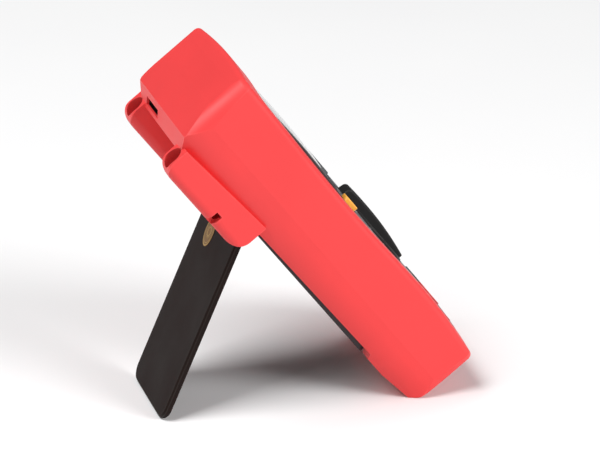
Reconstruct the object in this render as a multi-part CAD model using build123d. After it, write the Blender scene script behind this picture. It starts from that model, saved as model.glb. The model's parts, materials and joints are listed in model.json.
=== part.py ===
from build123d import *
import math
import os

# Handheld digital multimeter in a rubber holster, standing on its open rear stand.
# Every piece is drawn lying flat: X runs across the meter, Y up along it from the
# bottom end, Z out of the face. The whole meter is then leaned back on its stand.

# ---- driving dimensions, in millimetres and degrees ----
BODY_LENGTH = 182.5
BODY_WIDTH = 87.0
BODY_DEPTH = 42.0          # front rim to rear face, without the probe holders
LEAN = 53.7                # face's slope from the floor
HALF_WIDTH = BODY_WIDTH / 2

HOLSTER_CORNER = 8.0
FRONT_EDGE_RADIUS = 2.8

CASE_CLEARANCE = 0.25      # between the hard case and the holster around it
CASE_HALF_WIDTH = 40.4
CASE_BOTTOM = 3.2
CASE_TOP = 176.6
CASE_REAR = -38.2
CASE_SHOULDER = -4.2       # flange that the holster's front lip covers
CASE_SPLIT = -18.0
CASE_WALL = 2.4
CASE_CORNER = 9.0

FACE_HALF_WIDTH = 36.0     # raised face inside the holster's lip
FACE_BOTTOM = 10.0
FACE_TOP = 168.5
FACE_CORNER = 7.0
FACE_CROWN = -0.8          # highest line of the dial panel
DOME_RADIUS = 406.0
DISPLAY_CROWN = 1.0
DISPLAY_CENTRE = 136.0
DISPLAY_BOTTOM = 104.0
PANEL_THICKNESS = 0.4

KNOB_CENTRE = 66.0
KNOB_RADIUS = 23.0
DIAL_RECESS_RADIUS = 23.6
DIAL_FLOOR = -2.6
KNOB_SHAFT_RADIUS = 4.0
KNOB_GRIP_HALF = 4.5
SHAFT_CLEARANCE = 0.06
ROTOR_FRONT = -9.4
ROTOR_REAR = -12.4
ROTOR_RADIUS = 20.2
DETENT_INNER = 21.9

BUTTON_GAP = 0.3
BUTTON_ROW = 109.5
SIDE_BUTTON_ROW = 95.5
# name: (x, y, width, height, corner radius, how far the cap stands above the face)
BUTTONS = {
    "select_button": (-28.0, SIDE_BUTTON_ROW, 7.6, 8.6, 2.6, 1.9),
    "backlight_button": (28.0, SIDE_BUTTON_ROW, 7.6, 8.6, 2.6, 1.9),
    "range_button": (-25.5, BUTTON_ROW, 12.0, 6.0, 1.2, 0.5),
    "relative_button": (-8.5, BUTTON_ROW, 12.0, 6.0, 1.2, 0.5),
    "frequency_button": (8.5, BUTTON_ROW, 12.0, 6.0, 1.2, 0.5),
    "hold_button": (25.5, BUTTON_ROW, 12.0, 6.0, 1.2, 0.5),
}

FLANGE_CORNER = 1.2
BUTTON_EDGE = 0.5

JACK_ROW = 22.0
JACK_PITCH = 19.0
JACK_BORE = 2.0
JACK_TUBE = 3.0
JACK_DEPTH = 17.0
JACK_MOUTH = -3.5
SHROUD_INNER = 5.4
SHROUD_OUTER = 6.8
COLLAR_RADIUS = 7.2
COMMON_JACK_X = JACK_PITCH / 2

BOARD_FRONT = -13.0
BOARD_THICKNESS = 1.6
BOARD_REAR = BOARD_FRONT - BOARD_THICKNESS

HOLDER_OUTER = 42.0
HOLDER_INNER = 28.4
HOLDER_BOTTOM = 120.0
HOLDER_TOP = 174.5
HOLDER_REAR = -54.3
HOLDER_FRONT_LOW = -37.0    # edge of the step down to the side, at the bottom
HOLDER_FRONT_HIGH = -40.7
HOLDER_HEEL_RADIUS = 8.0
HOLDER_TOP_RADIUS = 6.5
NOTCH_LOW = 138.6
NOTCH_HIGH = 142.2
NOTCH_FRONT = -48.5
HOLDER_EDGE_RADIUS = 4.5
HOLDER_BORE = 5.2
HOLDER_BORE_DEPTH = 53.0
HOLDER_BORE_X = (HOLDER_OUTER + HOLDER_INNER) / 2
HOLDER_BORE_Z = -47.3

STAND_HALF_WIDTH = 26.9
STAND_LENGTH = 101.5       # hinge line to foot
STAND_THICKNESS = 3.4
STAND_CORNER = 7.0
STAND_BEVEL = 1.0
STAND_EDGE = 0.8
STAND_OFFSET = 1.2         # plate's middle is this far inside the hinge line
HINGE_Y = 121.0
HINGE_Z = -43.6
HINGE_PIN = 1.25
HINGE_BARREL = 2.6
RECESS_HALF_WIDTH = 27.4
RECESS_BOTTOM = 15.5
RECESS_TOP = 126.0
RECESS_FLOOR = -40.3
ISLAND_HALF_WIDTH = 33.0
ISLAND_BOTTOM = 33.8
ISLAND_TOP = 117.0
ISLAND_REAR = -42.3

DOOR_HALF_WIDTH = 17.0
DOOR_BOTTOM = 44.8
DOOR_TOP = 108.0
DOOR_THICKNESS = 2.0
DOOR_SCREW_Y = 47.4

WINDOW_HALF_WIDTH = 32.0
WINDOW_BOTTOM = 118.5
WINDOW_TOP = 165.5
WINDOW_THICKNESS = 1.5

BAY_HALF_WIDTH = 13.7       # battery compartment
BAY_BOTTOM = 51.0
BAY_TOP = 104.0

DATA_PORT_X = 16.6
DATA_PORT_LENGTH = 20.5
DATA_PORT_WIDTH = 4.2
DATA_PORT_DROP = -2.5       # from the corner's middle line towards the rear

CASE_SCREWS = [(x, y) for x in (-33.5, 33.5) for y in (10.5, 169.3)]
BOARD_SCREWS = [(x, y) for x in (-35.5, 35.5) for y in (60.0, 117.0)]
COVER_CEILING = -4.1       # underside of the face plate

HIGH_FUSE = (41.0, -21.0, 5.1, 19.0)    # y, z, radius, half length
LOW_FUSE = (31.2, -18.6, 3.15, 16.0)

STICKER_X = 7.4
STICKER_DISTANCE = 17.3    # from the hinge line
STICKER_WIDTH = 11.0
STICKER_LENGTH = 14.5
STICKER_THICKNESS = 0.15


def block(x0, x1, y0, y1, z0, z1):
    """Box from its low corner to its high corner."""
    size = (x1 - x0, y1 - y0, z1 - z0)
    middle = ((x0 + x1) / 2, (y0 + y1) / 2, (z0 + z1) / 2)
    return Pos(*middle) * Box(*size)


def slab(half_width, y0, y1, z0, z1, corner):
    """Upright plate with rounded corners, centred across the meter."""
    outline = RectangleRounded(2 * half_width, y1 - y0, corner)
    return Pos(0, (y0 + y1) / 2, z0) * extrude(outline, z1 - z0)


def disc(x, y, z0, z1, radius):
    """Cylinder standing out of the face."""
    return Pos(x, y, (z0 + z1) / 2) * Cylinder(radius, z1 - z0)


def rod_y(x, z, y0, y1, radius):
    """Cylinder lying along the meter."""
    return Pos(x, (y0 + y1) / 2, z) * Rot(90, 0, 0) * Cylinder(radius, y1 - y0)


def rod_x(y, z, x0, x1, radius):
    """Cylinder lying across the meter."""
    return Pos((x0 + x1) / 2, y, z) * Rot(0, 90, 0) * Cylinder(radius, x1 - x0)


def group(solids):
    """Several separate solids in one node."""
    return Compound(children=[piece for solid in solids for piece in solid.solids()])


def barrel_dome(crown, y0, y1):
    """Solid under a face that is arched across the meter."""
    return rod_y(0, crown - DOME_RADIUS, y0, y1, DOME_RADIUS)


def ball_dome(crown):
    """Solid under the display's face, arched both ways."""
    return Pos(0, DISPLAY_CENTRE, crown - DOME_RADIUS) * Sphere(DOME_RADIUS)


# ---- holster ----

def holster_side_profile():
    """Outline seen from the side, without the probe holders."""
    front = 4.0
    bottom_rear = (0.4, -35.6)
    top_rear = (179.9, -37.4)
    top_front = (181.3, front)
    with BuildLine() as line:
        ThreePointArc((0, front), (-1.4, -20), bottom_rear)
        Polyline(
            bottom_rear,
            (2.8, -39.7),
            (20.0, -BODY_DEPTH),
            (31.5, -BODY_DEPTH),
            (33.6, -39.6),
            (HOLDER_BOTTOM - 1, -41.2),
            (HOLDER_BOTTOM + 2, -42.8),
            (172.8, -43.6),
            top_rear,
        )
        ThreePointArc(top_rear, (BODY_LENGTH, -20), top_front)
        Line(top_front, (0, front))
    return make_face(line.line)


def holster_cross_section():
    """Outline across the body: two shallow side facets and round rear corners."""
    facet = (HALF_WIDTH, -25.0)
    front_edge = (HALF_WIDTH - 1.1, 4.0)
    shoulder = (HALF_WIDTH - 0.4, -28.5)
    rear_edge = (HALF_WIDTH - 11.0, -45.0)
    with BuildLine() as half:
        Line((0, 4.0), front_edge)
        Line(front_edge, facet)
        Line(facet, shoulder)
        ThreePointArc(shoulder, (HALF_WIDTH - 3.9, -38.4), rear_edge)
        Line(rear_edge, (0, -45.0))
        mirror(half.line, about=Plane.YZ)
    return make_face(half.line)


def holster_front_cut():
    """What is cut away in front of the holster's gently waved, arched front."""
    start, end = -8.0, BODY_LENGTH + 6.0
    start_height = -2.6
    crown = Spline(
        (0, start, start_height), (0, 6, -1.3), (0, 26, 0.4), (0, 68, 0.1), (0, 112, -0.4),
        (0, 146, 0.6), (0, end, 1.4)
    )
    reach = HALF_WIDTH + 6
    drop = DOME_RADIUS - math.sqrt(DOME_RADIUS**2 - reach**2)
    with BuildSketch(Plane((0, start, start_height), x_dir=(1, 0, 0), z_dir=(0, 1, 0))) as section:
        with BuildLine():
            ThreePointArc((-reach, drop), (0, 0), (reach, drop))
            Polyline((reach, drop), (reach, -20), (-reach, -20), (-reach, drop))
        make_face()
    return sweep(section.sketch, path=crown)


def holster_outer():
    """Skin of the holster's body, before it is hollowed."""
    side = extrude(Plane.YZ * holster_side_profile(), HALF_WIDTH + 2, both=True)
    across = Pos(0, -5, 0) * extrude(Plane.XZ * holster_cross_section(), -(BODY_LENGTH + 10))
    plan = slab(HALF_WIDTH, -3, BODY_LENGTH, -60, 10, HOLSTER_CORNER)
    body = side & across & plan
    body = body - holster_front_cut()
    front_face = max(body.faces(), key=lambda face: face.center().Z)
    return fillet(front_face.edges(), FRONT_EDGE_RADIUS)


def case_envelope(grow):
    """Outside of the hard case, up to the shoulder that the holster's lip covers."""
    shell = slab(
        CASE_HALF_WIDTH + grow,
        CASE_BOTTOM - grow,
        CASE_TOP + grow,
        CASE_REAR - grow,
        CASE_SHOULDER + grow,
        CASE_CORNER + grow,
    )
    rear_face = shell.faces().sort_by(Axis.Z)[0]
    return fillet(rear_face.edges(), CASE_CORNER + grow - 0.5)


def holder_solid(side):
    """Probe holder: a round-backed block on the holster's rear, left (-1) or right (+1)."""
    heel = (HOLDER_BOTTOM, HOLDER_REAR)
    crown = (HOLDER_TOP, HOLDER_REAR)
    with BuildSketch() as outline:
        with BuildLine():
            Polyline(
                (HOLDER_BOTTOM, HOLDER_FRONT_LOW),
                heel,
                crown,
                (HOLDER_TOP, HOLDER_FRONT_HIGH),
                close=True,
            )
        make_face()
        fillet(outline.vertices().sort_by_distance(heel)[0], HOLDER_HEEL_RADIUS)
        fillet(outline.vertices().sort_by_distance(crown)[0], HOLDER_TOP_RADIUS)
    profile = extrude(Plane.YZ * outline.sketch, 60, both=True)
    depth = HOLDER_FRONT_LOW + 1 - HOLDER_REAR
    bar = Pos(side * HOLDER_BORE_X, (HOLDER_BOTTOM + HOLDER_TOP) / 2, HOLDER_REAR + depth / 2) * Box(
        HOLDER_OUTER - HOLDER_INNER, HOLDER_TOP - HOLDER_BOTTOM + 10, depth
    )
    rear_edges = bar.edges().filter_by(Axis.Y).group_by(Axis.Z)[0]
    return fillet(rear_edges, HOLDER_EDGE_RADIUS) & profile


def both_sides(make):
    """The same piece on the left and on the right."""
    return make(-1) + make(1)


def probe_bore(side):
    bottom = HOLDER_TOP - HOLDER_BORE_DEPTH
    return rod_y(side * HOLDER_BORE_X, HOLDER_BORE_Z, bottom, HOLDER_TOP + 5, HOLDER_BORE)


def holder_notch(side):
    """Moulding window through the holder's outer wall."""
    inner = HOLDER_BORE_X + 2
    outer = HOLDER_OUTER + 2
    ends = sorted((side * inner, side * outer))
    return block(*ends, NOTCH_LOW, NOTCH_HIGH, HOLDER_REAR - 1, NOTCH_FRONT)


def pin_hole(side, radius):
    ends = sorted((side * 20.0, side * 30.8))
    return rod_x(HINGE_Y, HINGE_Z, ends[0], ends[1], radius)


def data_port(length, depth_low, depth_high, width):
    """Bar across the rear top chamfer; depths are measured from the case's corner arc centre."""
    centre_y = CASE_TOP - CASE_CORNER
    centre_z = CASE_REAR + CASE_CORNER
    bar = Box(length, depth_high - depth_low, width)
    bar = Pos(0, (depth_low + depth_high) / 2, DATA_PORT_DROP) * bar
    return Pos(DATA_PORT_X, centre_y, centre_z) * Rot(-45, 0, 0) * bar


def make_holster():
    body = holster_outer()
    body = body + both_sides(holder_solid)
    body = body - case_envelope(CASE_CLEARANCE)
    gap = CASE_CLEARANCE
    body = body - slab(
        FACE_HALF_WIDTH + gap, FACE_BOTTOM - gap, FACE_TOP + gap, -8, 8, FACE_CORNER + gap
    )
    body = body - slab(ISLAND_HALF_WIDTH + 0.2, ISLAND_BOTTOM - 0.2, ISLAND_TOP + 0.2, -50, -36, 4.2)
    body = body - slab(HOLDER_INNER, RECESS_BOTTOM - 0.2, RECESS_TOP + 0.2, -60, -36, 3.0)
    body = body - both_sides(probe_bore)
    body = body - both_sides(holder_notch)
    body = body - both_sides(lambda side: pin_hole(side, HINGE_PIN))
    return body - data_port(DATA_PORT_LENGTH, CASE_CORNER - 1.5, 20, DATA_PORT_WIDTH)


# ---- hard case ----

def face_height(x):
    """Height of the dial panel at a distance from the middle."""
    return FACE_CROWN - x**2 / (2 * DOME_RADIUS)


def cap_height(x, y, rise):
    """Height of a button's cap."""
    if y < DISPLAY_BOTTOM:
        return face_height(x) + rise
    drop = (x**2 + (y - DISPLAY_CENTRE) ** 2) / (2 * DOME_RADIUS)
    return DISPLAY_CROWN - drop + rise


def plate(x, y, width, height, z0, z1, corner):
    """Rounded plate anywhere on the face."""
    outline = RectangleRounded(width, height, corner)
    return Pos(x, y, z0) * extrude(outline, z1 - z0)


def jack_positions():
    return [JACK_PITCH * (index - 1.5) for index in range(4)]


def make_front_cover():
    shell = case_envelope(0) & block(-60, 60, -10, 190, CASE_SPLIT, 10)
    low_face = slab(FACE_HALF_WIDTH, FACE_BOTTOM, DISPLAY_BOTTOM + 10, -4.5, 3, FACE_CORNER)
    low_face = low_face & block(-60, 60, 0, DISPLAY_BOTTOM, -10, 10)
    low_face = low_face & barrel_dome(FACE_CROWN - PANEL_THICKNESS, 0, 200)
    high_face = slab(FACE_HALF_WIDTH, DISPLAY_BOTTOM - 10, FACE_TOP, -4.5, 3, FACE_CORNER)
    high_face = high_face & block(-60, 60, DISPLAY_BOTTOM, 200, -10, 10)
    high_face = high_face & ball_dome(DISPLAY_CROWN)
    cover = shell + low_face + high_face
    cover = cover - case_envelope(-CASE_WALL)
    cover = cover - slab(33.6, 12.4, 166.0, -7, COVER_CEILING, 5)
    # sleeves, bosses and posts that stand down from the face
    for x in jack_positions():
        cover = cover + disc(x, JACK_ROW, BOARD_FRONT + 0.2, -3.4, SHROUD_OUTER)
    cover = cover + disc(0, KNOB_CENTRE, -9.1, -3.9, 7.0)
    for x, y in CASE_SCREWS:
        cover = cover + (disc(x, y, CASE_SPLIT, -5.0, 3.6) & case_envelope(-0.5))
    for x, y in BOARD_SCREWS:
        cover = cover + disc(x, y, BOARD_FRONT, -5.0, 2.3)
    # openings
    for x in jack_positions():
        cover = cover - disc(x, JACK_ROW, -20, 5, SHROUD_INNER)
        cover = cover - disc(x, JACK_ROW, -3.4, 5, COLLAR_RADIUS)
    cover = cover - disc(0, KNOB_CENTRE, DIAL_FLOOR, 5, DIAL_RECESS_RADIUS)
    cover = cover - disc(0, KNOB_CENTRE, -20, 5, KNOB_SHAFT_RADIUS + SHAFT_CLEARANCE)
    for x, y, width, height, corner, _ in BUTTONS.values():
        gap = 2 * BUTTON_GAP
        cover = cover - plate(x, y, width + gap, height + gap, -10, 5, corner + BUTTON_GAP)
    window_seat = slab(WINDOW_HALF_WIDTH + 0.05, WINDOW_BOTTOM - 0.05, WINDOW_TOP + 0.05, -8, 5, 4.05)
    cover = cover - (window_seat - ball_dome(DISPLAY_CROWN - WINDOW_THICKNESS))
    cover = cover - slab(29.5, 121.5, 162.5, -10, 5, 2.0)
    for x, y in CASE_SCREWS:
        cover = cover - disc(x, y, -30, -9.0, 1.3)
    for x, y in BOARD_SCREWS:
        cover = cover - disc(x, y, -30, -6.5, 1.15)
    return cover


def make_dial_panel():
    """Printed overlay round the knob, stuck on the front cover."""
    panel = slab(34.5, 11.5, DISPLAY_BOTTOM - 0.6, -6, 3, 6.0)
    panel = panel & barrel_dome(FACE_CROWN, 0, 200)
    panel = panel - barrel_dome(FACE_CROWN - PANEL_THICKNESS, -10, 210)
    panel = panel - disc(0, KNOB_CENTRE, -10, 5, DIAL_RECESS_RADIUS + 0.4)
    for x in jack_positions():
        panel = panel - disc(x, JACK_ROW, -10, 5, COLLAR_RADIUS + 0.1)
    for x, y, width, height, corner, _ in BUTTONS.values():
        panel = panel - plate(x, y, width + 1.2, height + 1.2, -10, 5, corner + 0.6)
    return panel


def make_window():
    lens = slab(WINDOW_HALF_WIDTH, WINDOW_BOTTOM, WINDOW_TOP, -8, 5, 4.0)
    lens = lens & ball_dome(DISPLAY_CROWN)
    return lens - ball_dome(DISPLAY_CROWN - WINDOW_THICKNESS)


def make_rear_cover():
    cover = case_envelope(0) & block(-60, 60, -10, 190, -60, CASE_SPLIT)
    cover = cover - case_envelope(-CASE_WALL)
    cover = cover + slab(
        ISLAND_HALF_WIDTH, ISLAND_BOTTOM, ISLAND_TOP, ISLAND_REAR, CASE_REAR + CASE_WALL, 4.0
    )
    cover = cover + slab(
        RECESS_HALF_WIDTH - 0.1, RECESS_BOTTOM, RECESS_TOP, RECESS_FLOOR, CASE_REAR + CASE_WALL, 2.8
    )
    cover = cover - slab(RECESS_HALF_WIDTH, RECESS_BOTTOM - 5, RECESS_TOP + 5, -60, RECESS_FLOOR, 3.0)
    # battery compartment
    cover = cover - slab(26.0, ISLAND_BOTTOM + 2, ISLAND_TOP - 2, -38.1, -30, 3.0)
    cover = cover + slab(BAY_HALF_WIDTH + 1.5, BAY_BOTTOM - 1.5, BAY_TOP + 1.5, -38.1, -19.0, 2.0)
    cover = cover + disc(0, DOOR_SCREW_Y, -38.3, -31.0, 3.2)
    cover = cover - slab(BAY_HALF_WIDTH, BAY_BOTTOM, BAY_TOP, -60, -10, 1.0)
    cover = cover - slab(
        DOOR_HALF_WIDTH + 0.15, DOOR_BOTTOM - 0.15, DOOR_TOP + 0.15,
        -60, RECESS_FLOOR + DOOR_THICKNESS, 3.15
    )
    cover = cover - disc(0, DOOR_SCREW_Y, -60, -33.0, 1.25)
    for x, y in CASE_SCREWS:
        cover = cover + (disc(x, y, -38.2, CASE_SPLIT, 3.6) & case_envelope(0))
    for x, y in CASE_SCREWS:
        cover = cover - disc(x, y, -60, -10, 1.7)
        cover = cover - disc(x, y, -60, -33.0, 3.1)
    return cover


def make_battery_door():
    door = slab(
        DOOR_HALF_WIDTH, DOOR_BOTTOM, DOOR_TOP, RECESS_FLOOR, RECESS_FLOOR + DOOR_THICKNESS, 3.0
    )
    for index in range(5):
        y = DOOR_TOP - 8 - 3 * index
        door = door - block(-9, 9, y, y + 1.2, RECESS_FLOOR - 1, RECESS_FLOOR + 0.6)
    door = door - disc(0, DOOR_SCREW_Y, -60, -30, 1.4)
    return door - disc(0, DOOR_SCREW_Y, -60, RECESS_FLOOR + 1.1, 2.6)


def make_door_screw():
    head = disc(0, DOOR_SCREW_Y, RECESS_FLOOR + 0.1, RECESS_FLOOR + 1.1, 2.4)
    shank = disc(0, DOOR_SCREW_Y, RECESS_FLOOR + 1.1, -33.5, 1.2)
    slot = block(-1.8, 1.8, DOOR_SCREW_Y - 0.3, DOOR_SCREW_Y + 0.3, -60, RECESS_FLOOR + 0.6)
    cross = block(-0.3, 0.3, DOOR_SCREW_Y - 1.8, DOOR_SCREW_Y + 1.8, -60, RECESS_FLOOR + 0.6)
    return head + shank - slot - cross


def make_case_screws():
    return group(
        disc(x, y, -35.0, -33.0, 2.8) + disc(x, y, -33.0, -9.5, 1.25) for x, y in CASE_SCREWS
    )


def make_board_screws():
    return group(
        disc(x, y, BOARD_REAR - 1.4, BOARD_REAR, 2.2) + disc(x, y, BOARD_REAR, -7.0, 1.1)
        for x, y in BOARD_SCREWS
    )


# ---- display ----

def make_display_frame():
    frame = slab(33.0, WINDOW_BOTTOM, WINDOW_TOP, -11.4, COVER_CEILING, 4.8)
    return frame - block(-30.1, 30.1, 121.4, 162.6, -12, 0)


# ---- switches ----

def make_button(x, y, width, height, corner, rise):
    top = cap_height(x, y, rise)
    cap = plate(x, y, width, height, -4.4, top, corner)
    cap = fillet(cap.faces().sort_by(Axis.Z)[-1].edges(), BUTTON_EDGE)
    flange = plate(x, y, width + 1.6, height + 1.6, -5.5, -4.3, FLANGE_CORNER)
    stem = disc(x, y, -8.8, -5.4, 2.0)
    return cap + flange + stem


def make_keypad():
    """Rubber sheet with a pressing pad under each button."""
    sheet = slab(33.0, 90.8, 115.2, -11.6, -10.6, 2.0)
    for x, y, *_ in BUTTONS.values():
        sheet = sheet + disc(x, y, -10.7, -10.0, 2.8)
    return sheet


def knob_grip():
    """Bar across the knob, thinner towards its pointing end."""
    low = KNOB_CENTRE - KNOB_RADIUS + 0.2
    high = KNOB_CENTRE + KNOB_RADIUS - 0.2
    heel = (high - 0.8, 3.7)
    toe = (low + 0.4, 1.5)
    with BuildSketch() as outline:
        with BuildLine():
            Line((low, -1.0), toe)
            ThreePointArc(toe, (KNOB_CENTRE + 2, 4.1), heel)
            Polyline(heel, (high, -1.0), (low, -1.0))
        make_face()
        fillet(outline.vertices().sort_by_distance(heel)[0], 2.2)
    bar = extrude(Plane.YZ * outline.sketch, KNOB_GRIP_HALF, both=True)
    top_edges = [edge for edge in bar.edges() if edge.center().Z > 1.0 and abs(edge.center().X) > 1]
    bar = fillet(top_edges, 1.0)
    return bar & disc(0, KNOB_CENTRE, -5, 10, KNOB_RADIUS - 0.2)


def pointer_groove():
    low = KNOB_CENTRE - KNOB_RADIUS
    return block(-0.8, 0.8, low - 1, low + 9.0, 0.2, 8)


def make_knob():
    base = disc(0, KNOB_CENTRE, DIAL_FLOOR + 0.2, -0.3, KNOB_RADIUS)
    base = fillet(base.faces().sort_by(Axis.Z)[-1].edges(), 0.7)
    shaft = disc(0, KNOB_CENTRE, ROTOR_REAR, DIAL_FLOOR + 0.3, KNOB_SHAFT_RADIUS)
    return base + knob_grip() + shaft - pointer_groove()


def detent_hole(side, inner, outer, radius):
    ends = sorted((side * inner, side * outer))
    middle = (ROTOR_FRONT + ROTOR_REAR) / 2
    return rod_x(KNOB_CENTRE, middle, ends[0], ends[1], radius)


def make_rotor():
    rotor = disc(0, KNOB_CENTRE, ROTOR_REAR, ROTOR_FRONT, ROTOR_RADIUS)
    rotor = rotor - disc(0, KNOB_CENTRE, -20, 0, KNOB_SHAFT_RADIUS)
    return rotor - both_sides(lambda side: detent_hole(side, 14.0, 25.0, 1.3))


def make_detent_ring():
    """Scalloped ring inside the front cover that the balls click into."""
    ring = disc(0, KNOB_CENTRE, BOARD_FRONT + 0.4, COVER_CEILING, 24.4)
    ring = ring - disc(0, KNOB_CENTRE, -20, 0, DETENT_INNER)
    for index in range(12):
        angle = math.radians(30 * index)
        x = DETENT_INNER * math.cos(angle)
        y = KNOB_CENTRE + DETENT_INNER * math.sin(angle)
        ring = ring - disc(x, y, -20, -9.0, 1.4)
    return ring


def make_detent_balls():
    middle = (ROTOR_FRONT + ROTOR_REAR) / 2
    return group(Pos(side * 20.4, KNOB_CENTRE, middle) * Sphere(1.2) for side in (-1, 1))


def make_detent_springs():
    return group(detent_hole(side, 14.1, 19.1, 1.0) for side in (-1, 1))


def make_rotor_contacts():
    """Sprung brass wipers under the rotor."""
    wipers = []
    for index in range(3):
        angle = 120 * index + 30
        wiper = block(9.0, 17.0, -1.0, 1.0, BOARD_FRONT + 0.05, ROTOR_REAR)
        wipers.append(Pos(0, KNOB_CENTRE, 0) * Rot(0, 0, angle) * wiper)
    return group(wipers)


# ---- electronics ----

def make_board():
    board = slab(37.0, 8.0, 172.0, BOARD_REAR, BOARD_FRONT, 5.0)
    for x, y in CASE_SCREWS:
        board = board - disc(x, y, -20, 0, 4.1)
    for x, y in BOARD_SCREWS:
        board = board - disc(x, y, -20, 0, 1.2)
    for x in jack_positions():
        board = board - disc(x, JACK_ROW, -20, 0, JACK_TUBE + 0.05)
    return board


def make_jack(x):
    """Brass socket, soldered behind the board."""
    rear = JACK_MOUTH - JACK_DEPTH
    tube = disc(x, JACK_ROW, rear - 1.5, JACK_MOUTH, JACK_TUBE)
    tube = tube + disc(x, JACK_ROW, BOARD_REAR - 1.2, BOARD_REAR, 4.4)
    return tube - disc(x, JACK_ROW, rear, JACK_MOUTH + 5, JACK_BORE)


def make_collar(x):
    """Coloured ring round a jack's mouth."""
    ring = disc(x, JACK_ROW, -3.4, face_height(x) + 0.6, COLLAR_RADIUS)
    ring = fillet(ring.faces().sort_by(Axis.Z)[-1].edges(), 0.4)
    return ring - disc(x, JACK_ROW, -10, 5, SHROUD_INNER)


def make_fuse(y, z, radius, half_length):
    return rod_x(y, z, -half_length, half_length, radius)


def make_fuse_clips():
    clips = []
    for y, z, radius, half_length in (HIGH_FUSE, LOW_FUSE):
        for side in (-1, 1):
            ends = sorted((side * (half_length - 1), side * (half_length - 6)))
            clip = block(ends[0], ends[1], y - radius - 0.5, y + radius + 0.5, z, BOARD_REAR)
            clips.append(clip - rod_x(y, z, -40, 40, radius))
    return group(clips)


def make_battery():
    """Nine-volt block with its two snap studs."""
    can = block(-13.25, 13.25, 52.0, 98.4, -38.0, -20.5)
    can = fillet(can.edges().filter_by(Axis.Y), 2.0)
    studs = rod_y(-6.35, -29.2, 98.4, 100.5, 2.8) + rod_y(6.35, -29.2, 98.4, 100.5, 4.0)
    return can + studs


def make_battery_snap():
    cap = block(-12.8, 12.8, 98.6, 102.4, -35.0, -23.0)
    cap = cap - rod_y(-6.35, -29.2, 98, 100.6, 2.9) - rod_y(6.35, -29.2, 98, 100.6, 4.1)
    return cap


def make_shunt():
    """Thick resistance wire, bent into an arch behind the board."""
    feet = disc(-26, 12.5, -21.0, BOARD_REAR, 0.9) + disc(-12, 12.5, -21.0, BOARD_REAR, 0.9)
    return feet + rod_x(12.5, -20.1, -26, -12, 0.9)


def make_chips():
    return group([
        block(-21, -7, 116, 130, BOARD_REAR - 1.8, BOARD_REAR),
        block(8, 20, 120, 132, BOARD_REAR - 1.6, BOARD_REAR),
    ])


def make_capacitors():
    return group(disc(x, 150.0, BOARD_REAR - 11.0, BOARD_REAR, 4.0) for x in (8.0, 20.0))


def make_thermistors():
    return group(rod_x(y, BOARD_REAR - 3.4, 25.5, 28.5, 3.4) for y in (34.0, 43.0))


# ---- stand, drawn folded against the rear ----

def make_stand():
    front = HINGE_Z + STAND_OFFSET + STAND_THICKNESS / 2
    rear = front - STAND_THICKNESS
    foot = HINGE_Y - STAND_LENGTH
    panel = plate(
        0, (foot + HINGE_Y) / 2, 2 * STAND_HALF_WIDTH, HINGE_Y - foot, rear, front, STAND_CORNER
    )
    panel = panel + block(
        -STAND_HALF_WIDTH, STAND_HALF_WIDTH, HINGE_Y - STAND_CORNER, HINGE_Y, rear, front
    )
    rim = panel.faces().sort_by(Axis.Z)[0].edges()
    rim = [edge for edge in rim if edge.center().Y < HINGE_Y - 1]
    panel = chamfer(rim, STAND_BEVEL)
    inner_rim = [
        edge for edge in panel.faces().sort_by(Axis.Z)[-1].edges() if edge.center().Y < HINGE_Y - 1
    ]
    panel = fillet(inner_rim, STAND_EDGE)
    panel = panel + rod_x(HINGE_Y, HINGE_Z, -STAND_HALF_WIDTH, STAND_HALF_WIDTH, HINGE_BARREL)
    panel = panel - block(-17, 17, HINGE_Y - 6.5, HINGE_Y + 5, -60, -30)
    # pockets between ribs on the inner side
    for index in range(4):
        low = foot + 12 + 21 * index
        panel = panel - block(-23, -1.0, low, low + 18, front - 1.4, front + 1)
        panel = panel - block(1.0, 23, low, low + 18, front - 1.4, front + 1)
    return panel - both_sides(lambda side: pin_hole(side, HINGE_PIN + SHAFT_CLEARANCE))


def make_sticker():
    rear = HINGE_Z + STAND_OFFSET - STAND_THICKNESS / 2
    outline = Ellipse(STICKER_WIDTH / 2, STICKER_LENGTH / 2)
    oval = extrude(outline, STICKER_THICKNESS)
    return Pos(STICKER_X, HINGE_Y - STICKER_DISTANCE, rear - STICKER_THICKNESS) * oval


def make_stand_pins():
    return group(
        rod_x(HINGE_Y, HINGE_Z, *sorted((side * 22.0, side * 30.8)), HINGE_PIN) for side in (-1, 1)
    )


# ---- assembly ----

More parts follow.
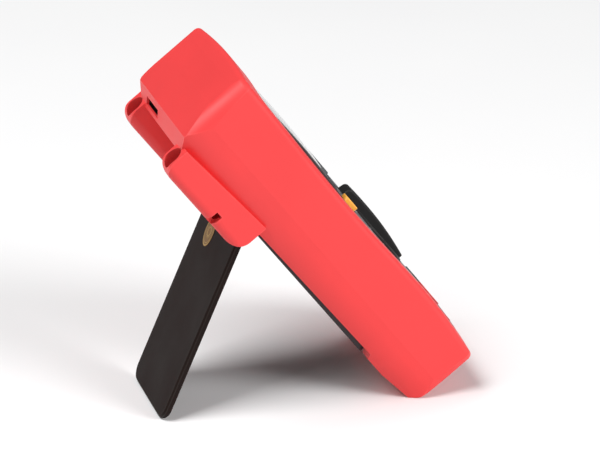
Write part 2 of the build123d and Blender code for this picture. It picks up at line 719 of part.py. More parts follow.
CASE_PIECES = {
    "holster": make_holster(),
    "front_cover": make_front_cover(),
    "rear_cover": make_rear_cover(),
    "battery_door": make_battery_door(),
    "battery_door_screw": make_door_screw(),
    "case_screws": make_case_screws(),
    "dial_panel": make_dial_panel(),
    "display_window": make_window(),
    "display_frame": make_display_frame(),
    "lcd_glass": block(-30, 30, 121.5, 162.5, -7.2, -4.9),
    "lcd_backlight": block(-30, 30, 124.5, 162.5, -10.4, -7.3),
    "lcd_connector_strip": block(-28, 28, 121.7, 124.0, BOARD_FRONT, -7.2),
    "data_port_window": data_port(
        DATA_PORT_LENGTH - 0.2, CASE_CORNER + 0.3, CASE_CORNER + 1.5, DATA_PORT_WIDTH - 0.2
    ),
    "keypad_mat": make_keypad(),
    "main_board": make_board(),
    "board_screws": make_board_screws(),
    "jack_collars": group(make_collar(x) for x in jack_positions() if x != COMMON_JACK_X),
    "common_jack_collar": make_collar(COMMON_JACK_X),
    "detent_ring": make_detent_ring(),
    "high_current_fuse": make_fuse(*HIGH_FUSE),
    "low_current_fuse": make_fuse(*LOW_FUSE),
    "fuse_clips": make_fuse_clips(),
    "battery": make_battery(),
    "battery_snap": make_battery_snap(),
    "current_shunt": make_shunt(),
    "buzzer": disc(-22, 147, BOARD_REAR - 5.0, BOARD_REAR, 9.0),
    "measuring_chips": make_chips(),
    "capacitors": make_capacitors(),
    "thermistors": make_thermistors(),
    "stand_pins": make_stand_pins(),
    "knob": make_knob(),
    "knob_pointer": knob_grip() & pointer_groove(),
    "switch_rotor": make_rotor(),
    "rotor_contacts": make_rotor_contacts(),
    "detent_balls": make_detent_balls(),
    "detent_springs": make_detent_springs(),
}
JACK_NAMES = ("amps_jack", "milliamps_jack", "common_jack", "volts_jack")
for jack_name, jack_x in zip(JACK_NAMES, jack_positions()):
    CASE_PIECES[jack_name] = make_jack(jack_x)
for button_name, button in BUTTONS.items():
    CASE_PIECES[button_name] = make_button(*button)

STAND_PIECES = {
    "stand": make_stand(),
    "stand_sticker": make_sticker(),
}

# the holster's lowest edge and the stand's foot both touch the floor
lean_back = Rot(LEAN, 0, 0)
floor_z = (lean_back * CASE_PIECES["holster"]).bounding_box().min.Z
hinge_height = (lean_back * Pos(0, HINGE_Y, HINGE_Z)).position.Z - floor_z
foot_reach = STAND_LENGTH - STAND_EDGE
foot_side = STAND_OFFSET + STAND_THICKNESS / 2 - STAND_EDGE
foot_arm = math.hypot(foot_reach, foot_side)
foot_angle = math.degrees(math.atan2(foot_side, foot_reach))
foot_slope = math.degrees(math.asin((hinge_height - STAND_EDGE) / foot_arm))
stand_opening = 180 - foot_slope + foot_angle - LEAN

about_hinge = Pos(0, HINGE_Y, HINGE_Z) * Rot(stand_opening, 0, 0) * Pos(0, -HINGE_Y, -HINGE_Z)
leaned = {name: lean_back * piece for name, piece in CASE_PIECES.items()}
for name, piece in STAND_PIECES.items():
    leaned[name] = lean_back * about_hinge * piece

boxes = [piece.bounding_box() for piece in leaned.values()]
middle_y = (min(box.min.Y for box in boxes) + max(box.max.Y for box in boxes)) / 2
to_floor = Pos(0, -middle_y, -floor_z)

os.makedirs("parts", exist_ok=True)
for name, piece in leaned.items():
    export_step(to_floor * piece, f"parts/{name}.step")

print("stand opens by", round(stand_opening, 4))
print("case frame sits at y, z", round(-middle_y, 4), round(-floor_z, 4))
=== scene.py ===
import bmesh
import bpy
import json
import math
from mathutils import Matrix, Vector
from mathutils.bvhtree import BVHTree


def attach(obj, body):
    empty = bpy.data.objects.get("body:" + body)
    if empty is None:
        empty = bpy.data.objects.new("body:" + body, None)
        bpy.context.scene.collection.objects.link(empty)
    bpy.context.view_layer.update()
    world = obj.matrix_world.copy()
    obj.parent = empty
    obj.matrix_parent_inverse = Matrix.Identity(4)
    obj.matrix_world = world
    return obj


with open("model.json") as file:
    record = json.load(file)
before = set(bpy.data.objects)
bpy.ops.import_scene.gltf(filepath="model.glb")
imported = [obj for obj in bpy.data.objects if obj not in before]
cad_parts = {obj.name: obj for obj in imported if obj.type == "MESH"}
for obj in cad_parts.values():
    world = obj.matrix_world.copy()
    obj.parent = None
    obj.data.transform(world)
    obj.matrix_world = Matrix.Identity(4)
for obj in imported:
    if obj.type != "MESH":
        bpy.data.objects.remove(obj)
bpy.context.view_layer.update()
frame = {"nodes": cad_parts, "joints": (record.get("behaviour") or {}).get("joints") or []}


# ---- The camera ----
# The meter leans back on its stand. Its dial turns about a line square to the face, so that
# line, the meter's width and the line up the face are the directions all the pieces use. The
# camera looks at its left side, a little from above and almost along the face.

MM = 0.001
dial_axle = next(joint for joint in frame["joints"] if joint["name"] == "dial_turn")
out_of_face = Vector(dial_axle["axis"]).normalized()
across_face = Vector((1.0, 0.0, 0.0))
up_face = out_of_face.cross(across_face)
dial_centre = Vector(dial_axle["pos_m"])


def standing_at(place, right, up, out):
    """The place and lie of a thing whose own three directions are right, up and out."""
    return Matrix.Translation(place) @ Matrix((right, up, out)).transposed().to_4x4()


FACE = standing_at(dial_centre, across_face, up_face, out_of_face)


def on_meter(across, along, out):
    """A place on the meter in millimetres, from the dial's centre on the face."""
    return FACE @ Vector((across * MM, along * MM, out * MM))


CAMERA_AZIMUTH = math.radians(253.95)
CAMERA_HEIGHT = math.radians(22.29)
CAMERA_ROLL = math.radians(-1.52)
CAMERA_DISTANCE = 1.5
CAMERA_LENS = 193.5
CAMERA_FILM = 36.0
AIM_LEFT = 3.3
AIM_DOWN = 4.27
towards_camera = Vector((
    math.sin(CAMERA_AZIMUTH) * math.cos(CAMERA_HEIGHT),
    -math.cos(CAMERA_AZIMUTH) * math.cos(CAMERA_HEIGHT),
    math.sin(CAMERA_HEIGHT),
))
level_right = Vector((0.0, 0.0, 1.0)).cross(towards_camera).normalized()
level_up = towards_camera.cross(level_right)
camera_right = math.cos(CAMERA_ROLL) * level_right + math.sin(CAMERA_ROLL) * level_up
camera_up = -math.sin(CAMERA_ROLL) * level_right + math.cos(CAMERA_ROLL) * level_up
camera_aim = on_meter(0, 24, -20) - camera_right * AIM_LEFT * MM - camera_up * AIM_DOWN * MM

camera_data = bpy.data.cameras.new("studio_camera")
camera_data.lens = CAMERA_LENS
camera_data.sensor_width = CAMERA_FILM
camera_data.clip_end = 60.0
camera = bpy.data.objects.new("studio_camera", camera_data)
camera.matrix_world = standing_at(
    camera_aim + towards_camera * CAMERA_DISTANCE, camera_right, camera_up, towards_camera
)
bpy.context.scene.collection.objects.link(camera)
bpy.context.scene.camera = camera


# ---- The studio ----
# A plain white table under weak, even white light. One large soft box stands in front of the
# meter on its left, and another hangs behind and above it to light its top end.

TABLE_REACH = 14.0


def linear(red, green, blue):
    """A paint colour on the 0 to 255 scale as the light that it sends back."""
    shares = (c / 255.0 for c in (red, green, blue))
    return tuple(c / 12.92 if c <= 0.04045 else ((c + 0.055) / 1.055) ** 2.4 for c in shares) + (1.0,)


table_material = bpy.data.materials.new("white_table")
table_material.use_nodes = True
table_nodes = table_material.node_tree.nodes
table_links = table_material.node_tree.links
table_shader = table_nodes["Principled BSDF"]
table_shader.inputs["Specular IOR Level"].default_value = 0.0
table_shader.inputs["Roughness"].default_value = 0.95
table_place = table_nodes.new("ShaderNodeTexCoord")
table_noise = table_nodes.new("ShaderNodeTexNoise")
table_noise.inputs["Scale"].default_value = 6.0
table_tone = table_nodes.new("ShaderNodeValToRGB")
table_tone.color_ramp.elements[0].color = (0.83, 0.83, 0.835, 1.0)
table_tone.color_ramp.elements[1].color = (0.86, 0.86, 0.86, 1.0)
table_links.new(table_place.outputs["Object"], table_noise.inputs["Vector"])
table_links.new(table_noise.outputs["Fac"], table_tone.inputs["Fac"])
table_links.new(table_tone.outputs["Color"], table_shader.inputs["Base Color"])

table_mesh = bpy.data.meshes.new("studio_table")
table_mesh.from_pydata(
    [(x * TABLE_REACH, y * TABLE_REACH, 0) for x, y in ((-1, -1), (1, -1), (1, 1), (-1, 1))],
    [],
    [(0, 1, 2, 3)],
)
table_mesh.materials.append(table_material)
studio_table = bpy.data.objects.new("studio_table", table_mesh)
bpy.context.scene.collection.objects.link(studio_table)

studio_world = bpy.data.worlds.new("studio_world")
studio_world.use_nodes = True
studio_world.node_tree.nodes["Background"].inputs["Color"].default_value = (1.0, 1.0, 1.0, 1.0)
studio_world.node_tree.nodes["Background"].inputs["Strength"].default_value = 0.17
bpy.context.scene.world = studio_world
bpy.context.scene.view_settings.view_transform = "Standard"


def soft_box(name, place, size, power):
    """A square studio light that faces the meter."""
    light = bpy.data.lights.new(name, "AREA")
    light.shape = "SQUARE"
    light.size = size
    light.energy = power
    lamp = bpy.data.objects.new(name, light)
    lamp.location = place
    lamp.rotation_euler = (on_meter(0, 20, -20) - Vector(place)).to_track_quat("-Z", "Y").to_euler()
    bpy.context.scene.collection.objects.link(lamp)


soft_box("side_soft_box", (-2.3, -2.0, 1.5), 1.4, 88.0)
soft_box("top_soft_box", (-0.3, 1.3, 2.5), 1.6, 78.0)


# ---- The holster ----
# One soft moulding of red rubber that the hard case is pushed into, with the two probe holders
# and the stand's hinge on its back. Its surface is finely spark-eroded and has little shine.

EDGE_ROUNDING = 0.9
TONE_PATCHES = 38.0


def moulded(name, colour, roughness, grain, depth, tone=0.06, specular=0.5, edge_wear_and_highlight=None, edge_wear_and_highlight_amount=0.0):
    """A moulded surface: grain in millimetres across, depth of it in millimetres, a slow change of
    tone over the piece, and where an edge colour is given, edges tinted towards that colour: rubbed
    wear on most pieces, and on the holster and the stand wear together with a painted highlight."""
    material = bpy.data.materials.new(name)
    material.use_nodes = True
    nodes = material.node_tree.nodes
    links = material.node_tree.links
    shader = nodes["Principled BSDF"]
    shader.inputs["Specular IOR Level"].default_value = specular
    place = nodes.new("ShaderNodeTexCoord")

    drift = nodes.new("ShaderNodeTexNoise")
    drift.inputs["Scale"].default_value = TONE_PATCHES
    drift.inputs["Detail"].default_value = 5.0
    links.new(place.outputs["Object"], drift.inputs["Vector"])
    tones = nodes.new("ShaderNodeValToRGB")
    tones.color_ramp.elements[0].position = 0.3
    tones.color_ramp.elements[1].position = 0.7
    darker = tuple(c * (1.0 - tone) for c in colour[:3])
    lighter = tuple(min(1.0, c * (1.0 + tone)) for c in colour[:3])
    tones.color_ramp.elements[0].color = darker + (1.0,)
    tones.color_ramp.elements[1].color = lighter + (1.0,)
    links.new(drift.outputs["Fac"], tones.inputs["Fac"])
    body_colour = tones.outputs["Color"]

    fine = nodes.new("ShaderNodeTexNoise")
    fine.inputs["Scale"].default_value = 1.0 / (grain * MM)
    fine.inputs["Detail"].default_value = 3.0
    fine.inputs["Roughness"].default_value = 0.6
    links.new(place.outputs["Object"], fine.inputs["Vector"])
    # Edges tinted lighter: rubbed wear, and on the holster and the stand also a painted highlight.
    if edge_wear_and_highlight:
        rounded = nodes.new("ShaderNodeBevel")
        rounded.samples = 4
        rounded.inputs["Radius"].default_value = EDGE_ROUNDING * MM
        surface = nodes.new("ShaderNodeNewGeometry")
        turned = nodes.new("ShaderNodeVectorMath")
        turned.operation = "DOT_PRODUCT"
        links.new(rounded.outputs["Normal"], turned.inputs[0])
        links.new(surface.outputs["Normal"], turned.inputs[1])
        edge = nodes.new("ShaderNodeMapRange")
        edge.inputs["From Min"].default_value = 0.995
        edge.inputs["From Max"].default_value = 0.90
        edge.inputs["To Max"].default_value = edge_wear_and_highlight_amount
        links.new(turned.outputs["Value"], edge.inputs["Value"])
        patchy = nodes.new("ShaderNodeMath")
        patchy.operation = "MULTIPLY"
        links.new(edge.outputs["Result"], patchy.inputs[0])
        links.new(drift.outputs["Fac"], patchy.inputs[1])
        rubbed_and_highlit = nodes.new("ShaderNodeMix")
        rubbed_and_highlit.data_type = "RGBA"
        rubbed_and_highlit.inputs["B"].default_value = edge_wear_and_highlight
        links.new(patchy.outputs["Value"], rubbed_and_highlit.inputs["Factor"])
        links.new(body_colour, rubbed_and_highlit.inputs["A"])
        body_colour = rubbed_and_highlit.outputs["Result"]
    links.new(body_colour, shader.inputs["Base Color"])

    shine = nodes.new("ShaderNodeMapRange")
    shine.inputs["From Min"].default_value = 0.3
    shine.inputs["From Max"].default_value = 0.7
    shine.inputs["To Min"].default_value = roughness - 0.05
    shine.inputs["To Max"].default_value = roughness + 0.05
    links.new(drift.outputs["Fac"], shine.inputs["Value"])
    links.new(shine.outputs["Result"], shader.inputs["Roughness"])
    relief = nodes.new("ShaderNodeBump")
    relief.inputs["Strength"].default_value = 0.5
    relief.inputs["Distance"].default_value = depth * MM
    links.new(fine.outputs["Fac"], relief.inputs["Height"])
    links.new(relief.outputs["Normal"], shader.inputs["Normal"])
    return material


def finish_in(material, *pieces):
    """Gives CAD pieces their finish."""
    for piece in pieces:
        for place in frame["nodes"][piece].material_slots:
            place.material = material


# The lighter pink on the holster's edges is partly rubbed wear and partly a painted highlight along
# them.
holster_rubber = moulded(
    "holster_rubber", linear(230, 63, 64), 0.46, 0.4, 0.02, tone=0.025, specular=0.3,
    edge_wear_and_highlight=linear(255, 120, 118), edge_wear_and_highlight_amount=0.5,
)
finish_in(holster_rubber, "holster")


# ---- The hard case ----
# Two black ABS shells screwed together round the board. Only the frame of the front shell and
# the back's battery island show once the holster is on.

case_plastic = moulded(
    "case_plastic", linear(38, 38, 40), 0.5, 0.6, 0.05, tone=0.12,
    edge_wear_and_highlight=linear(96, 96, 98), edge_wear_and_highlight_amount=0.45,
)
finish_in(case_plastic, "front_cover", "rear_cover")
door_plastic = moulded(
    "door_plastic", linear(44, 44, 46), 0.55, 0.5, 0.06, tone=0.1,
    edge_wear_and_highlight=linear(104, 104, 104), edge_wear_and_highlight_amount=0.5,
)
finish_in(door_plastic, "battery_door")


# ---- The dial panel ----
# A thin printed sheet glued to the front shell round the dial. The range marks are screened on
# it in white, the sockets' units in yellow and the rules in grey.

panel_sheet = moulded("panel_sheet", linear(52, 54, 58), 0.38, 0.3, 0.015, tone=0.06)
finish_in(panel_sheet, "dial_panel")

white_ink = moulded("white_ink", linear(236, 238, 238), 0.5, 0.2, 0.01, tone=0.03)
grey_ink = moulded("grey_ink", linear(150, 155, 160), 0.5, 0.2, 0.01, tone=0.03)
yellow_ink = moulded("yellow_ink", linear(245, 180, 60), 0.5, 0.2, 0.01, tone=0.03)


def part_extent(piece):
    """Lowest and highest corner of a CAD piece in millimetres, across, along and out of the face
    from the dial's centre."""
    to_face = FACE.inverted()
    corners = [to_face @ v.co for v in frame["nodes"][piece].data.vertices]
    low = [min(c[i] for c in corners) / MM for i in range(3)]
    high = [max(c[i] for c in corners) / MM for i in range(3)]
    return low, high


def part_middle(piece):
    """Middle of a CAD piece in millimetres, across and along the face from the dial's centre."""
    low, high = part_extent(piece)
    return (low[0] + high[0]) / 2, (low[1] + high[1]) / 2


def surface_of(piece):
    """The surface of a CAD piece, to lay print on."""
    mesh = frame["nodes"][piece].data
    points = [v.co.copy() for v in mesh.vertices]
    return BVHTree.FromPolygons(points, [list(face.vertices) for face in mesh.polygons])


def lay_on(mesh, surface, lift):
    """Drops a flat mesh, drawn in millimetres from the dial's centre, on to a surface and lifts it
    by the thickness of the ink."""
    clear_of_face = 30
    for vertex in mesh.vertices:
        above = on_meter(vertex.co.x, vertex.co.y, clear_of_face)
        landing = surface.ray_cast(above, -out_of_face)[0]
        if landing is None:
            landing = on_meter(vertex.co.x, vertex.co.y, 0)
        vertex.co = landing + out_of_face * lift * MM


def new_piece(name, mesh, material, body):
    """Puts a finished mesh in the scene as a piece that moves with a body of the meter."""
    mesh.name = name
    mesh.materials.clear()
    mesh.materials.append(material)
    piece = bpy.data.objects.new(name, mesh)
    bpy.context.scene.collection.objects.link(piece)
    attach(piece, body)


def flat_mesh(outlines):
    """One flat mesh from closed outlines of (across, along) points in millimetres."""
    mesh = bpy.data.meshes.new("flat")
    points = []
    faces = []
    for outline in outlines:
        area = sum(a[0] * b[1] - b[0] * a[1] for a, b in zip(outline, outline[1:] + outline[:1]))
        ordered = outline if area > 0 else outline[::-1]
        faces.append(list(range(len(points), len(points) + len(ordered))))
        points.extend((x, y, 0.0) for x, y in ordered)
    mesh.from_pydata(points, [], faces)
    return mesh


def lettering(words):
    """One flat mesh of printed characters, from (text, across, along, height) in millimetres."""
    joined = bmesh.new()
    for text, across, along, height in words:
        curve = bpy.data.curves.new("characters", "FONT")
        curve.body = text
        curve.size = height
        curve.align_x = "CENTER"
        curve.align_y = "CENTER"
        curve.resolution_u = 3
        holder = bpy.data.objects.new("characters", curve)
        bpy.context.scene.collection.objects.link(holder)
        bpy.context.view_layer.update()
        characters = bpy.data.meshes.new_from_object(
            holder.evaluated_get(bpy.context.evaluated_depsgraph_get())
        )
        characters.transform(Matrix.Translation((across, along, 0)))
        joined.from_mesh(characters)
        bpy.data.objects.remove(holder)
        bpy.data.curves.remove(curve)
        bpy.data.meshes.remove(characters)
    mesh = bpy.data.meshes.new("lettering")
    joined.to_mesh(mesh)
    joined.free()
    return mesh


def repeated_mark(name, material):
    """A geometry tree that repeats one rectangular mark round a circle: it has sockets for the
    number of marks, the circle's radius, the first angle, the step and the mark's size."""
    tree = bpy.data.node_groups.new(name, "GeometryNodeTree")
    tree.interface.new_socket("Geometry", in_out="OUTPUT", socket_type="NodeSocketGeometry")
    sockets = {}
    for label, kind in (
        ("Marks", "NodeSocketInt"),
        ("Circle radius", "NodeSocketFloat"),
        ("First angle", "NodeSocketFloat"),
        ("Step", "NodeSocketFloat"),
        ("Mark length", "NodeSocketFloat"),
        ("Mark width", "NodeSocketFloat"),
    ):
        sockets[label] = tree.interface.new_socket(label, in_out="INPUT", socket_type=kind).identifier
    entry = tree.nodes.new("NodeGroupInput")
    leave = tree.nodes.new("NodeGroupOutput")
    points = tree.nodes.new("GeometryNodePoints")
    number = tree.nodes.new("GeometryNodeInputIndex")
    angle = tree.nodes.new("ShaderNodeMath")
    angle.operation = "MULTIPLY_ADD"
    sine = tree.nodes.new("ShaderNodeMath")
    sine.operation = "SINE"
    cosine = tree.nodes.new("ShaderNodeMath")
    cosine.operation = "COSINE"
    direction = tree.nodes.new("ShaderNodeCombineXYZ")
    reach = tree.nodes.new("ShaderNodeVectorMath")
    reach.operation = "SCALE"
    turn = tree.nodes.new("ShaderNodeCombineXYZ")
    mark = tree.nodes.new("GeometryNodeMeshGrid")
    mark.inputs["Vertices X"].default_value = 3
    mark.inputs["Vertices Y"].default_value = 2
    place = tree.nodes.new("GeometryNodeSetPosition")
    copies = tree.nodes.new("GeometryNodeInstanceOnPoints")
    real = tree.nodes.new("GeometryNodeRealizeInstances")
    ink = tree.nodes.new("GeometryNodeSetMaterial")
    ink.inputs["Material"].default_value = material
    link = tree.links.new
    link(entry.outputs["Marks"], points.inputs["Count"])
    link(number.outputs["Index"], angle.inputs[0])
    link(entry.outputs["Step"], angle.inputs[1])
    link(entry.outputs["First angle"], angle.inputs[2])
    link(angle.outputs["Value"], cosine.inputs[0])
    link(angle.outputs["Value"], sine.inputs[0])
    link(cosine.outputs["Value"], direction.inputs["X"])
    link(sine.outputs["Value"], direction.inputs["Y"])
    link(direction.outputs["Vector"], reach.inputs[0])
    link(entry.outputs["Circle radius"], reach.inputs["Scale"])
    link(angle.outputs["Value"], turn.inputs["Z"])
    link(points.outputs["Points"], place.inputs["Geometry"])
    link(reach.outputs["Vector"], place.inputs["Position"])
    link(entry.outputs["Mark length"], mark.inputs["Size X"])
    link(entry.outputs["Mark width"], mark.inputs["Size Y"])
    link(place.outputs["Geometry"], copies.inputs["Points"])
    link(mark.outputs["Mesh"], copies.inputs["Instance"])
    link(turn.outputs["Vector"], copies.inputs["Rotation"])
    link(copies.outputs["Instances"], real.inputs["Geometry"])
    link(real.outputs["Geometry"], ink.inputs["Geometry"])
    link(ink.outputs["Geometry"], leave.inputs["Geometry"])
    return tree, sockets


def grown(tree, sockets, **sizes):
    """The plain mesh that a geometry tree makes for these sizes."""
    seed = bpy.data.objects.new("seed", bpy.data.meshes.new("seed"))
    bpy.context.scene.collection.objects.link(seed)
    modifier = seed.modifiers.new("grow", "NODES")
    modifier.node_group = tree
    for label, value in sizes.items():
        modifier[sockets[label.replace("_", " ").capitalize()]] = value
    bpy.context.view_layer.update()
    mesh = bpy.data.meshes.new_from_object(
        seed.evaluated_get(bpy.context.evaluated_depsgraph_get())
    )
    seed.modifiers.remove(modifier)
    bpy.data.objects.remove(seed)
    return mesh


DIAL_STEP = math.radians(22.5)
RANGES = ("OFF", "A", "mA", "µA", "%", "Hz", "°C", "nF", "Ω", "mV", "V=", "V~", "OFF")
TICK_CIRCLE = 25.4
LABEL_CIRCLE = 29.2
LETTER_HEIGHT = 3.6
LONG_WORD_HEIGHT = 2.9
PANEL_INK = 0.03
panel_surface = surface_of("dial_panel")

mark_tree, mark_sockets = repeated_mark("dial_marks", white_ink)
first_angle = -math.pi / 2 - DIAL_STEP * (len(RANGES) - 1) / 2
ticks = grown(
    mark_tree, mark_sockets, marks=len(RANGES), circle_radius=TICK_CIRCLE,
    first_angle=first_angle, step=DIAL_STEP, mark_length=1.8, mark_width=0.6,
)
lay_on(ticks, panel_surface, PANEL_INK)
new_piece("dial_ticks", ticks, white_ink, "case")

range_words = []
for position, word in enumerate(RANGES):
    angle = first_angle + DIAL_STEP * position
    height = LONG_WORD_HEIGHT if len(word) > 2 else LETTER_HEIGHT
    range_words.append((word, LABEL_CIRCLE * math.cos(angle), LABEL_CIRCLE * math.sin(angle), height))
range_print = lettering(range_words)
lay_on(range_print, panel_surface, PANEL_INK)
new_piece("range_print", range_print, white_ink, "case")

# The sockets' marks: the unit above each, and a thin rule at each side that parts them from
# the dial.
SOCKET_UNITS = {"amps_jack": "A", "milliamps_jack": "mA", "common_jack": "COM", "volts_jack": "VΩ"}
UNIT_ABOVE_SOCKET = 10.2
UNIT_HEIGHT = 3.0
socket_words = []
for jack, unit in SOCKET_UNITS.items():
    across, along = part_middle(jack)
    socket_words.append((unit, across, along + UNIT_ABOVE_SOCKET, UNIT_HEIGHT))
socket_print = lettering(socket_words)
lay_on(socket_print, panel_surface, PANEL_INK)
new_piece("socket_print", socket_print, yellow_ink, "case")

# Each rule is drawn in short pieces, so it follows the panel's slight arch.
RULE_BORDER = 1.4
RULE_WIDTH = 0.45
RULE_FOOT = -29.5
RULE_INNER_END = 17.0
RULE_PIECES = 8
panel_edge = part_extent("dial_panel")[1][0]
rule_length = panel_edge - RULE_BORDER - RULE_INNER_END
rule_piece = rule_length / RULE_PIECES
rule_outlines = []
for start in (-RULE_INNER_END - rule_length, RULE_INNER_END):
    for piece in range(RULE_PIECES):
        left = start + piece * rule_piece
        right = left + rule_piece
        top = RULE_FOOT + RULE_WIDTH
        rule_outlines.append([(left, RULE_FOOT), (right, RULE_FOOT), (right, top), (left, top)])
rule_lines = flat_mesh(rule_outlines)
lay_on(rule_lines, panel_surface, PANEL_INK)
new_piece("rule_lines", rule_lines, grey_ink, "case")


# ---- The display ----
# A domed acrylic window over a plain segment display. The acrylic is clear and
# faintly grey; the glass of the display is grey-green, its segments are dark.

window_glass = bpy.data.materials.new("window_glass")
window_glass.use_nodes = True
glass_nodes = window_glass.node_tree.nodes
glass_links = window_glass.node_tree.links
glass_shader = glass_nodes["Principled BSDF"]
glass_shader.inputs["IOR"].default_value = 1.46
glass_shader.inputs["Transmission Weight"].default_value = 1.0
glass_shader.inputs["Base Color"].default_value = (0.72, 0.75, 0.75, 1.0)
glass_place = glass_nodes.new("ShaderNodeTexCoord")
glass_smear = glass_nodes.new("ShaderNodeTexNoise")
glass_smear.inputs["Scale"].default_value = 55.0
glass_smear.inputs["Detail"].default_value = 4.0
glass_shine = glass_nodes.new("ShaderNodeMapRange")
glass_shine.inputs["From Min"].default_value = 0.35
glass_shine.inputs["From Max"].default_value = 0.75
glass_shine.inputs["To Min"].default_value = 0.03
glass_shine.inputs["To Max"].default_value = 0.10
glass_relief = glass_nodes.new("ShaderNodeBump")
glass_relief.inputs["Strength"].default_value = 0.05
glass_relief.inputs["Distance"].default_value = 0.00002
glass_links.new(glass_place.outputs["Object"], glass_smear.inputs["Vector"])
glass_links.new(glass_smear.outputs["Fac"], glass_shine.inputs["Value"])
glass_links.new(glass_shine.outputs["Result"], glass_shader.inputs["Roughness"])
glass_links.new(glass_smear.outputs["Fac"], glass_relief.inputs["Height"])
glass_links.new(glass_relief.outputs["Normal"], glass_shader.inputs["Normal"])
finish_in(window_glass, "display_window")

display_grey = moulded("display_grey", linear(152, 160, 146), 0.35, 0.25, 0.006, tone=0.03)
finish_in(display_grey, "lcd_glass")
frame_dark = moulded("frame_dark", linear(32, 33, 35), 0.45, 0.4, 0.03, tone=0.06)
finish_in(frame_dark, "display_frame")
diffuser_white = moulded("diffuser_white", linear(214, 214, 208), 0.5, 0.4, 0.03, tone=0.04)
finish_in(diffuser_white, "lcd_backlight")
strip_pink = moulded("strip_pink", linear(196, 120, 128), 0.7, 0.3, 0.03, tone=0.08)
finish_in(strip_pink, "lcd_connector_strip")
segment_dark = moulded("segment_dark", linear(34, 36, 34), 0.45, 0.3, 0.004, tone=0.05)

DIGITS = 4
DIGIT_WIDTH = 8.6
DIGIT_HEIGHT = 17.0
DIGIT_PITCH = 12.6
DIGITS_LEFT = 1.0
DIGITS_UP = 2.5
SEGMENT = 1.7
SEGMENT_GAP = 0.25
SEGMENT_LIFT = 0.03
SLANT = 0.10
POINT_RADIUS = 0.95
POINT_CORNERS = 12
POINT_GAP = 1.6
SEGMENTS_OF_ZERO = ("top", "bottom", "upper_left", "upper_right", "lower_left", "lower_right")


def segment_outline(name):
    """Corners of one segment of a digit, from the digit's lower left corner, before the slant."""
    half = DIGIT_HEIGHT / 2
    cut = SEGMENT / 2
    if name in ("bottom", "top"):
        y = cut if name == "bottom" else DIGIT_HEIGHT - cut
        left = cut + SEGMENT_GAP
        right = DIGIT_WIDTH - cut - SEGMENT_GAP
        return [
            (left, y), (left + cut, y - cut), (right - cut, y - cut),
            (right, y), (right - cut, y + cut), (left + cut, y + cut),
        ]
    x = cut if name.endswith("left") else DIGIT_WIDTH - cut
    low = (cut if name.startswith("lower") else half) + SEGMENT_GAP
    high = (half if name.startswith("lower") else DIGIT_HEIGHT - cut) - SEGMENT_GAP
    return [
        (x, low), (x + cut, low + cut), (x + cut, high - cut),
        (x, high), (x - cut, high - cut), (x - cut, low + cut),
    ]


MILLIMETRES = Matrix.Scale(MM, 4)
display_front = part_extent("lcd_glass")[1][2] + SEGMENT_LIFT
digits_start = -((DIGITS - 1) * DIGIT_PITCH + DIGIT_WIDTH) / 2 - DIGITS_LEFT
digits_foot = part_middle("lcd_glass")[1] - DIGIT_HEIGHT / 2 + DIGITS_UP
outlines = []
for digit in range(DIGITS):
    digit_start = digits_start + digit * DIGIT_PITCH
    for name in SEGMENTS_OF_ZERO:
        corners = segment_outline(name)
        outlines.append([(digit_start + x + SLANT * y, digits_foot + y) for x, y in corners])
point_x = digits_start + DIGIT_WIDTH + POINT_GAP
point_y = digits_foot + POINT_RADIUS
point_angles = [math.tau * corner / POINT_CORNERS for corner in range(POINT_CORNERS)]
outlines.append([
    (point_x + POINT_RADIUS * math.cos(angle), point_y + POINT_RADIUS * math.sin(angle))
    for angle in point_angles
])
segments = flat_mesh(outlines)
segments.transform(FACE @ MILLIMETRES @ Matrix.Translation((0, 0, display_front)))
new_piece("display_digits", segments, segment_dark, "case")

# The bar graph under the digits is a row of strokes. They are set round a circle so large that
# the row is straight.
BAR_CIRCLE = 1600.0
BAR_STROKES = 31
BAR_PITCH = 1.6
BAR_DROP = 5.0
bar_step = BAR_PITCH / BAR_CIRCLE
bar_tree, bar_sockets = repeated_mark("bar_graph_marks", segment_dark)
bar_strokes = grown(
    bar_tree, bar_sockets, marks=BAR_STROKES, circle_radius=BAR_CIRCLE,
    first_angle=-math.pi / 2 - bar_step * (BAR_STROKES - 1) / 2, step=bar_step,
    mark_length=2.4, mark_width=0.6,
)
bar_place = Matrix.Translation((0, BAR_CIRCLE + digits_foot - BAR_DROP, display_front))
bar_strokes.transform(FACE @ MILLIMETRES @ bar_place)
new_piece("display_bar_graph", bar_strokes, segment_dark, "case")


# ---- The rotary knob ----
# A smooth black moulded disc with a raised bar to turn it by, and a white line let into the
# end of the bar that points.

knob_plastic = moulded(
    "knob_plastic", linear(26, 25, 25), 0.5, 0.5, 0.05, tone=0.12, specular=0.25,
    edge_wear_and_highlight=linear(80, 80, 80), edge_wear_and_highlight_amount=0.5,
)
finish_in(knob_plastic, "knob")
pointer_white = moulded("pointer_white", linear(232, 232, 228), 0.5, 0.3, 0.02, tone=0.03)
finish_in(pointer_white, "knob_pointer")


# ---- The buttons ----
# Six moulded caps on one rubber mat: the yellow and the blue one beside the knob, and four
# dark grey ones in a row under the display.

